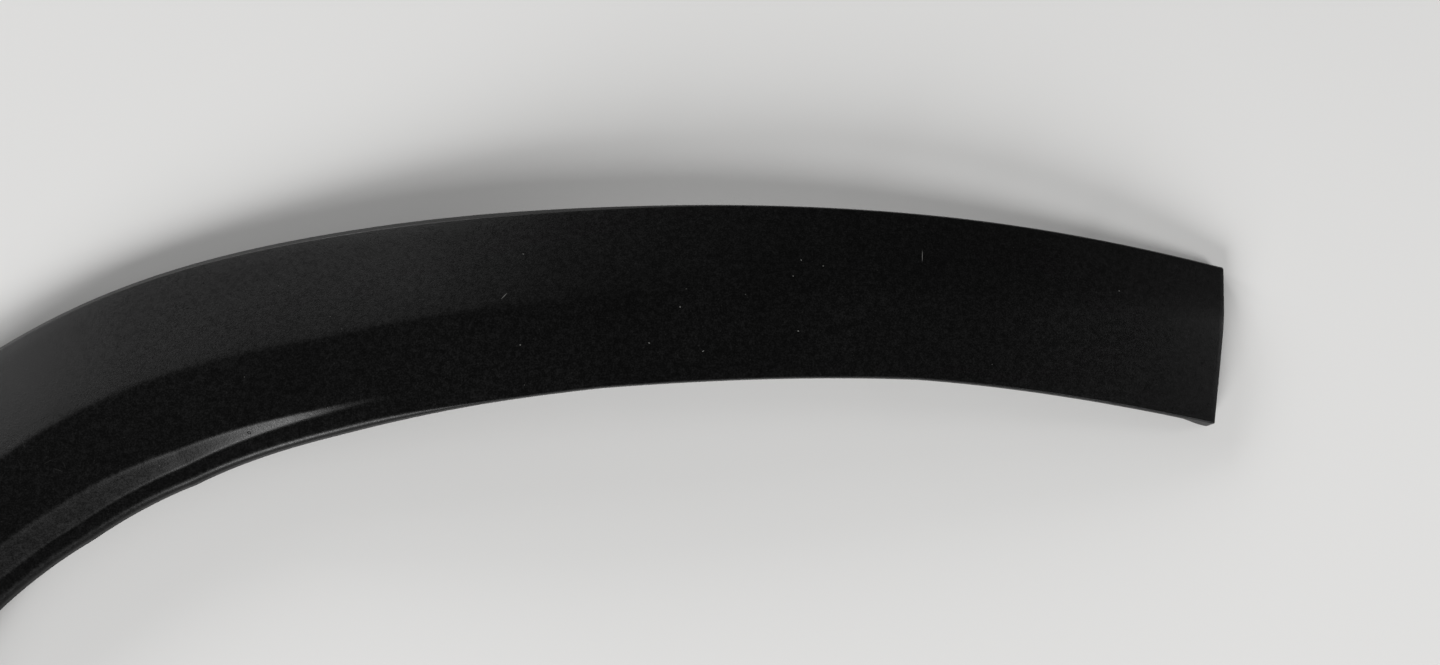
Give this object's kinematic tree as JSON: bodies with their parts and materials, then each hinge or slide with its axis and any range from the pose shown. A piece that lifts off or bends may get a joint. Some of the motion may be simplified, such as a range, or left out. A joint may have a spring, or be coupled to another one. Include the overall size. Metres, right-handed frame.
{
  "type": "wheel arch trim",
  "caption": "Moulded black plastic trim for a car's wheel arch: a creased band with a stepped inner edge, end walls, and push-in retaining clips and locating pegs on its back.",
  "frame": {"origin": "centre of the footprint, on the surface that the trim lies on with its outer face up", "axes": "+X along the upper run towards its plain end, +Y across the band away from the wheel opening, +Z out of the face, away from the car"},
  "size_m": [0.7014, 0.3074, 0.0398],
  "materials": {
    "black_plastic": "fine-grained black injection-moulded plastic with a low sheen",
    "clip_nylon": "smooth natural nylon"
  },
  "bodies": {
    "root": {"arch_moulding": "black_plastic", "clip_1": "clip_nylon", "clip_2": "clip_nylon", "clip_3": "clip_nylon", "clip_4": "clip_nylon", "clip_5": "clip_nylon", "clip_6": "clip_nylon", "clip_7": "clip_nylon"}
  },
  "joints": []
}
